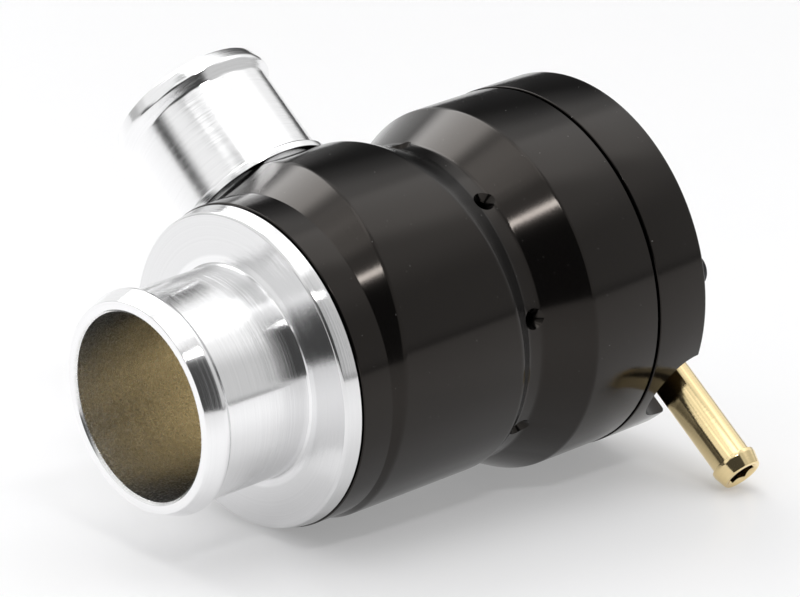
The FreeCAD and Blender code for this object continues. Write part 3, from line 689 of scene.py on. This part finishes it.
class VALVE_OT_outlet(bpy.types.Operator):
    """Turns the bare outlet spigot on the body's flat"""
    bl_idname = "valve.outlet"
    bl_label = "Outlet spigot"
    group = "outlet"

    def execute(self, context):
        valve = context.scene.blow_off_valve
        sizes = valve.outlet
        insert, insert_end = sizes.ring - OUTLET_SHOULDER - FIT, 0.01855
        groove_start, groove_depth = 0.02155, 0.001
        ring_top, ring_edge = sizes.seat + 0.0014, 0.0003
        bead_start, bead_end = sizes.pipe_end + 0.0015, sizes.pipe_end + 0.0021
        lip, mouth_chamfer = sizes.pipe + 0.0003, 0.00015
        bore_end = sizes.seat + 0.0011
        profile = [
            (sizes.port, insert_end),
            (insert, insert_end),
            *ring_groove(insert, groove_start, GROOVE_WIDTH, groove_depth),
            (insert, sizes.seat),
            (sizes.ring, sizes.seat, 0.00008),
            (sizes.ring, ring_top - ring_edge, 0.0001),
            (sizes.ring - ring_edge, ring_top, 0.0001),
            (sizes.pipe, ring_top, 0.0003),
            (sizes.pipe, sizes.pipe_end, 0.0003),
            (sizes.bead, bead_start, 0.0002),
            (sizes.bead, bead_end, 0.0002),
            (lip, sizes.mouth, 0.00015),
            (sizes.bore + mouth_chamfer, sizes.mouth, 0.00005),
            (sizes.bore, sizes.mouth - mouth_chamfer, 0.00005),
            (sizes.bore, bore_end),
            (sizes.port, sizes.seat),
        ]
        axis = side_axis(sizes.place, OUTLET_ALONG)
        piece = turn_piece("outlet_spigot_turned", axis, profile)
        finish = bare_aluminium("bare_aluminium_outlet", axis, sizes.bore, valve.finishes)
        finish_piece(piece, finish, "housing", ["outlet_spigot"])
        return {"FINISHED"}


class VALVE_OT_cap(bpy.types.Operator):
    """Turns the black cap, and cuts the channel for the hose nipple and the screw holes"""
    bl_idname = "valve.cap"
    bl_label = "Cap"
    group = "cap"

    def execute(self, context):
        valve = context.scene.blow_off_valve
        sizes, body = valve.cap, valve.body
        piece = turn_piece("cap_turned", MAIN, self.profile(sizes, body))
        nipple_hole, channel = self.nipple_cutters(sizes, valve.nipple)
        spot_face, cutter_end = SCREW_HEAD + 0.00025, sizes.back + OVERCUT
        screw_holes = [screw_cutter(sizes, number, SCREW_THREAD + FIT, body.back - OVERCUT, cutter_end)
                       for number in range(CAP_SCREWS)]
        spot_faces = [screw_cutter(sizes, number, spot_face, sizes.screw_seat, cutter_end)
                      for number in range(CAP_SCREWS)]
        cut(piece, nipple_hole, channel, *screw_holes, *spot_faces)
        finish = black_anodised("black_anodised_cap", MAIN, valve.finishes)
        finish_piece(piece, finish, "housing", ["cap"])
        return {"FINISHED"}

    def profile(self, sizes, body):
        """The spigot in the body's bore, the joint line and the outside up to the back, then the rooms of the
        adjuster and of the spring cup from back to front."""
        spigot = body.head_bore - FIT
        spigot_end, wall = 0.0759, spigot - 0.0034
        groove_start, groove_depth = 0.0769, 0.0014
        joint_floor, joint_back = body.head - 0.0009, body.back + 0.0005
        joint_edge, edge = 0.00012, 0.0003
        rim_chamfer, rim_chamfer_run = 0.0005, 0.0004
        adjuster_bore, adjuster_room, adjuster_stop = 0.004, 0.0055, 0.097
        cup_room, cup_stop, cup_room_end = 0.0105, 0.0925, 0.0805
        return [
            (wall, spigot_end),
            (spigot, spigot_end, 0.0001),
            *ring_groove(spigot, groove_start, GROOVE_WIDTH, groove_depth),
            (spigot, body.back),
            (joint_floor, body.back),
            (joint_floor, joint_back),
            (sizes.rim - joint_edge, joint_back),
            (sizes.rim, joint_back + joint_edge, 0.00005),
            (sizes.rim, sizes.back - rim_chamfer_run, 0.0002),
            (sizes.rim - rim_chamfer, sizes.back, 0.0001),
            (sizes.hub, sizes.back, 0.0003),
            (sizes.hub, sizes.hub_back - edge, 0.0001),
            (sizes.hub - edge, sizes.hub_back, 0.0001),
            (sizes.boss, sizes.hub_back, 0.0003),
            (sizes.boss, sizes.boss_back - edge, 0.0001),
            (sizes.boss - edge, sizes.boss_back, 0.0001),
            (adjuster_bore, sizes.boss_back, 0.0001),
            (adjuster_bore, adjuster_stop),
            (adjuster_room, adjuster_stop),
            (adjuster_room, cup_stop),
            (cup_room, cup_stop),
            (cup_room, cup_room_end),
            (wall, cup_room_end),
        ]

    def nipple_cutters(self, sizes, nipple):
        """The nipple's threaded hole, and the round channel it stands in, a little to one side of it."""
        inner_end, outer_end = 0.0095, 0.034
        hole = turn_piece("nipple_hole", side_axis(nipple.place, -OUTLET_ALONG), [
            (NIPPLE_THREAD + FIT, inner_end),
            (NIPPLE_THREAD + FIT, sizes.channel_floor + OVERCUT),
        ], closed=False, columns=60)
        middle = side_axis(sizes.channel_place, -OUTLET_ALONG)
        shifted = middle._replace(origin=middle.origin + sizes.channel_shift * side_of(MAIN))
        channel = turn_piece("channel", shifted, [
            (sizes.channel, sizes.channel_floor),
            (sizes.channel, outer_end),
        ], closed=False, columns=180)
        return hole, channel


class VALVE_OT_nipple(bpy.types.Operator):
    """Turns the brass hose nipple with its collar, end bead and key socket, and finishes its washer"""
    bl_idname = "valve.nipple"
    bl_label = "Hose nipple"
    group = "nipple"

    def execute(self, context):
        valve = context.scene.blow_off_valve
        sizes, finishes = valve.nipple, valve.finishes
        axis = side_axis(sizes.place, -OUTLET_ALONG)
        piece = turn_piece("hose_nipple_turned", axis, self.profile(sizes, valve.cap), columns=96)
        cut(piece, *self.socket_cutters(sizes, axis))
        brass = turned_metal("polished_brass", axis, finishes.brass, finishes.marks, 0.08)
        finish_piece(piece, brass, "housing", ["hose_nipple"])
        copper = turned_metal("copper", axis, finishes.copper, finishes.marks, 0.25)
        frame["nodes"]["nipple_washer"].material_slots[0].material = copper
        return {"FINISHED"}

    def profile(self, sizes, cap):
        """The thread, the collar, the pipe and the end bead, from the inside out."""
        bore, thread_end = 0.0015, cap.channel_floor - 0.0055
        seat = cap.channel_floor + 0.0009
        collar_top, collar_edge = seat + 0.0018, 0.0003
        bead_start = sizes.tip - 0.0027
        bead_end, tip_edge = bead_start + 0.0006, 0.00015
        return [
            (bore, thread_end),
            (NIPPLE_THREAD, thread_end),
            (NIPPLE_THREAD, seat),
            (sizes.collar, seat, 0.0001),
            (sizes.collar, collar_top - collar_edge, 0.00015),
            (sizes.collar - collar_edge, collar_top, 0.0001),
            (sizes.pipe, collar_top, 0.0003),
            (sizes.pipe, bead_start, 0.00003),
            (sizes.bead, bead_start, 0.00006),
            (sizes.bead, bead_end, 0.00008),
            (sizes.pipe, sizes.tip - tip_edge, 0.0001),
            (sizes.pipe - tip_edge, sizes.tip, 0.00008),
            (bore, sizes.tip),
        ]

    def socket_cutters(self, sizes, axis):
        """The hexagon key socket, and the countersink at its mouth."""
        key_floor, sink_floor, cutter_end = sizes.tip - 0.0045, sizes.tip - 0.0006, sizes.tip + 0.0002
        socket = turn_piece("key_socket", axis, [
            (sizes.key, key_floor),
            (sizes.key, cutter_end),
        ], closed=False, columns=6, first_angle=0.3)
        countersink = turn_piece("countersink", axis, [
            (sizes.key - 0.0004, sink_floor),
            (sizes.key + 0.0006, cutter_end),
        ], closed=False, columns=64, first_angle=0.02)
        return socket, countersink


class VALVE_OT_screws(bpy.types.Operator):
    """Turns the four black cap screws with their key sockets"""
    bl_idname = "valve.screws"
    bl_label = "Cap screws"
    group = "cap"

    def execute(self, context):
        sizes = context.scene.blow_off_valve.cap
        tip, top, edge = sizes.screw_seat - 0.017, sizes.screw_seat + 0.002, 0.0003
        socket, socket_edge = 0.0015, 0.0001
        key, key_floor = 0.00144, top - 0.0013
        for number in range(CAP_SCREWS):
            axis = screw_axis(sizes, number)
            piece = turn_piece(f"cap_screw_turned_{number + 1}", axis, [
                (SCREW_THREAD - edge, tip),
                (SCREW_THREAD, tip + edge),
                (SCREW_THREAD, sizes.screw_seat),
                (SCREW_HEAD, sizes.screw_seat, 0.00005),
                (SCREW_HEAD, top - edge, 0.0002),
                (SCREW_HEAD - edge, top, 0.0001),
                (socket + socket_edge, top),
                (socket, top - socket_edge),
            ], closed=False, columns=64)
            key_socket = turn_piece("key", axis, [
                (key, key_floor),
                (key, top + OVERCUT),
            ], closed=False, columns=6, first_angle=0.4)
            cut(piece, key_socket)
            finish = black_steel(f"black_steel_{number + 1}", axis)
            finish_piece(piece, finish, "housing", [f"cap_screw_{number + 1}"])
        return {"FINISHED"}


class VALVE_OT_spring(bpy.types.Operator):
    """Winds the spring that the piston and the cup squash, and finishes the pieces inside the valve"""
    bl_idname = "valve.spring"
    bl_label = "Spring and inner pieces"
    group = "finishes"

    def execute(self, context):
        finishes = context.scene.blow_off_valve.finishes
        floor, top, gap = 0.032, 0.0886, 0.0002
        middle = (floor + top) / 2
        travel = {joint["name"]: joint["range_m"][1] for joint in frame["record"]["behaviour"]["joints"]
                  if "range_m" in joint}
        finish = drawn_wire("spring_steel", finishes.steel)
        # Two bodies squash the spring, so each half rides on one.
        for name, start, end, anchor, body, joint in (
            ("spring_front_half", 0.0, 0.5 - gap, floor, "piston", "piston_slide"),
            ("spring_rear_half", 0.5 + gap, 1.0, top, "spring_cup", "cup_slide"),
        ):
            piece = self.wind(name, floor, top, start, end)
            finish_piece(piece, finish, body, ["spring"])
            tuple(MAIN.origin + anchor * MAIN.along)
            1 - travel[joint] / abs(middle - anchor)
            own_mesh(piece)
        self.finish_inner_pieces(finishes)
        return {"FINISHED"}

    def wind(self, name, floor, top, start, end):
        """The part from start to end, as shares of its length, of a helix between floor and top that carries
        the wire's circle: distance from the axis = coil + wire cos(b), place = the helix's + wire sin(b)."""
        coil, wire, turns, clearance = 0.0082, 0.0008, 10.5, 0.00002
        rows, columns = 320, 12
        along_wire = np.linspace(start, end, rows)[:, None]
        around_wire = (2 * math.pi * np.arange(columns) / columns)[None, :]
        turn = 2 * math.pi * turns * along_wire
        first, last = floor + wire + clearance, top - wire - clearance
        place = first + (last - first) * along_wire + wire * np.sin(around_wire)
        reach = coil + wire * np.cos(around_wire)
        points = MAIN.origin + place[..., None] * MAIN.along
        points = points + (reach * np.cos(turn))[..., None] * MAIN.across
        points = points + (reach * np.sin(turn))[..., None] * side_of(MAIN)
        faces = grid_faces(rows, columns, closed=False).tolist()
        return new_piece(name, points, faces + [face.tolist() for face in grid_ends(rows, columns)])

    def finish_inner_pieces(self, finishes):
        steel = turned_metal("plain_steel", MAIN, finishes.steel, finishes.marks, 0.25)
        brass = turned_metal("turned_brass", MAIN, finishes.piston, finishes.marks, 0.22)
        rubber = seal_rubber("seal_rubber")
        finish_of = {"piston": brass, "spring_cup": steel, "adjuster_screw": steel}
        finish_of.update({name: rubber for name in frame["nodes"] if name.endswith("o_ring")})
        for name, finish in finish_of.items():
            frame["nodes"][name].material_slots[0].material = finish


# The camera's two directions, and its place seen from the valve's mouth.
CAMERA_FORWARD = (0.62923, 0.71057, -0.31489)
CAMERA_RIGHT = (0.75190, -0.65909, 0.01522)
CAMERA_FROM_MOUTH = (-0.43543, -0.55051, 0.25036)

# A bright patch of the room, seen from the valve: where it starts and ends around, from +X towards +Y, and in
# height, and how soft its edges are, all in degrees, then its brightness.
Patch = namedtuple("Patch", "left right low high soft brightness")
PANELS = (
    Patch(-88, 24, 1, 90, 4, 0.62),
    Patch(-60, 62, 38, 70, 10, 0.45),
    Patch(-10, 34, 12, 46, 6, 0.4),
    Patch(-25, 62, 48, 74, 8, 0.9),
    Patch(63, 103, 30, 68, 7, 5.4),
    Patch(103, 180, 66, 90, 8, 0.8),
    Patch(-180, 180, 72, 90, 5, 2.0),
    Patch(-180, -130, 68, 90, 8, 0.6),
    Patch(-172, -128, 44, 62, 4, 1.0),
    Patch(-165, -88, 60, 74, 4, 0.9),
    Patch(56, 96, -6, 26, 5, 1.0),
    Patch(96, 180, 14, 60, 8, 1.0),
    Patch(96, 150, -2, 14, 4, 0.5),
    Patch(-180, -165, 10, 60, 8, 1.0),
)
DIM_ROOM = 0.07


def window(value, low, high, soft):
    """1 between low and high, 0 outside, with soft edges."""
    return value.smooth(low - soft, low + soft) * value.smooth(high - soft, high + soft, 1.0, 0.0)


class VALVE_OT_stage(bpy.types.Operator):
    """Sets the camera, the room's bright panels, the lamp and the pale floor"""
    bl_idname = "valve.stage"
    bl_label = "Stage"
    group = "studio"

    def execute(self, context):
        scene = context.scene
        finishes, studio = scene.blow_off_valve.finishes, scene.blow_off_valve.studio
        scene.view_settings.view_transform = "Standard"
        self.add_camera(scene, studio)
        self.add_room(scene, studio)
        self.add_lamp(scene, studio)
        self.add_floor(finishes, studio)
        return {"FINISHED"}

    def add_camera(self, scene, studio):
        data = bpy.data.cameras.new("camera")
        data.lens = studio.lens * 1000
        data.sensor_width = 36
        data.clip_end = 100
        camera = bpy.data.objects.new("camera", data)
        forward = Vector(CAMERA_FORWARD).normalized()
        right = Vector(CAMERA_RIGHT).normalized()
        up = right.cross(forward).normalized()
        turn = Matrix((right, up, -forward)).transposed().to_4x4()
        camera.matrix_world = Matrix.Translation(Vector(MOUTH) + Vector(CAMERA_FROM_MOUTH)) @ turn
        scene.collection.objects.link(camera)
        scene.camera = camera

    def add_room(self, scene, studio):
        """A dim room with bright panels, which the camera itself sees as white. A panel that ends at the half
        turn or straight above runs on past it, so that its soft edge doesn't show there."""
        world = bpy.data.worlds.new("room")
        world.use_nodes = True
        scene.world = world
        tree = world.node_tree
        start = Wire(tree, None)
        direction = start.node("TexCoord").math("NORMALIZE")
        x, y, z = (direction.node("SeparateXYZ", {}, {0: direction}, number) for number in range(3))
        azimuth = y.math("ARCTAN2", x) * (180 / math.pi)
        elevation = z.math("ARCSINE") * (180 / math.pi)
        light = DIM_ROOM
        for panel in PANELS:
            left = panel.left - (panel.soft if panel.left == -180 else 0)
            right = panel.right + (panel.soft if panel.right == 180 else 0)
            high = panel.high + (panel.soft if panel.high == 90 else 0)
            inside = window(azimuth, left, right, panel.soft) * window(elevation, panel.low, high, panel.soft)
            light = light + inside * panel.brightness
        plain_white = (1, 1, 1, 1)
        room = tree.nodes["Background"]
        room.inputs["Color"].default_value = plain_white
        tree.links.new((light * studio.level).socket, room.inputs["Strength"])
        backdrop = start.node("Background", {}, {"Color": plain_white})
        camera_ray = start.node("LightPath")
        mixed = start.node("MixShader", {}, {0: camera_ray, 1: Wire(tree, room.outputs[0]), 2: backdrop})
        tree.links.new(mixed.socket, tree.nodes["World Output"].inputs["Surface"])

    def add_lamp(self, scene, studio):
        """A small lamp high up in front, to the camera's right, for the glint on the front cone."""
        azimuth, elevation, distance = math.radians(-106), math.radians(55), 1.2
        width, height, brightness = 0.3, 0.07, 32.0
        data = bpy.data.lights.new("glint", "AREA")
        data.shape = "RECTANGLE"
        data.size = width
        data.size_y = height
        data.energy = math.pi * width * height * brightness * studio.level
        lamp = bpy.data.objects.new("glint", data)
        out = Vector((math.cos(azimuth) * math.cos(elevation),
                      math.sin(azimuth) * math.cos(elevation),
                      math.sin(elevation)))
        lamp.location = out * distance
        lamp.rotation_euler = out.to_track_quat("Z", "Y").to_euler()
        scene.collection.objects.link(lamp)

    def add_floor(self, finishes, studio):
        """A pale floor that takes the shadow, mixed with plain white where the camera, a mirror or glass
        sees it."""
        reach = studio.floor_reach
        corners = np.array([(-reach, -reach, 0), (reach, -reach, 0), (reach, reach, 0), (-reach, reach, 0)])
        floor = new_piece("floor", corners, [(0, 1, 2, 3)])
        material, shader, spot = new_material("pale_floor")
        grain = spot.noise(60.0, 3.0)
        feed(shader, Base_Color=grain.blend(rgba(finishes.floor), rgba(finishes.floor, 0.985)), Roughness=0.3)
        camera, glossy, transmission = (spot.node("LightPath", output=number) for number in (0, 3, 6))
        seen = camera.math("MAXIMUM", glossy).math("MAXIMUM", transmission)
        tree = material.node_tree
        mixed = spot.node("MixShader", {}, {
            0: seen * studio.glow,
            1: Wire(tree, shader.outputs[0]),
            2: spot.node("Emission"),
        })
        tree.links.new(mixed.socket, tree.nodes["Material Output"].inputs["Surface"])
        floor.data.materials.append(material)


class VALVE_PT_sidebar(bpy.types.Panel):
    """Lists the valve's pieces, sizes and finishes"""
    bl_idname = "VALVE_PT_sidebar"
    bl_label = "Blow off valve"
    bl_space_type = "VIEW_3D"
    bl_region_type = "UI"
    bl_category = "Valve"

    def draw(self, context):
        for operator in OPERATORS:
            box = self.layout.box()
            box.operator(operator.bl_idname)
            settings = getattr(context.scene.blow_off_valve, operator.group)
            for name in settings.__annotations__:
                box.prop(settings, name)


OPERATORS = (VALVE_OT_stage, VALVE_OT_inlet, VALVE_OT_body, VALVE_OT_outlet, VALVE_OT_cap, VALVE_OT_nipple,
             VALVE_OT_screws, VALVE_OT_spring)
CLASSES = (InletSizes, BodySizes, OutletSizes, CapSizes, NippleSizes, Finishes, StudioSizes, ValveSettings,
           *OPERATORS, VALVE_PT_sidebar)


def register():
    for entry in CLASSES:
        bpy.utils.register_class(entry)
    bpy.types.Scene.blow_off_valve = bpy.props.PointerProperty(type=ValveSettings)


def unregister():
    del bpy.types.Scene.blow_off_valve
    for entry in reversed(CLASSES):
        bpy.utils.unregister_class(entry)


def main():
    register()
    for operator in OPERATORS:
        family, name = operator.bl_idname.split(".")
        getattr(getattr(bpy.ops, family), name)()


if __name__ == "__main__":
    main()
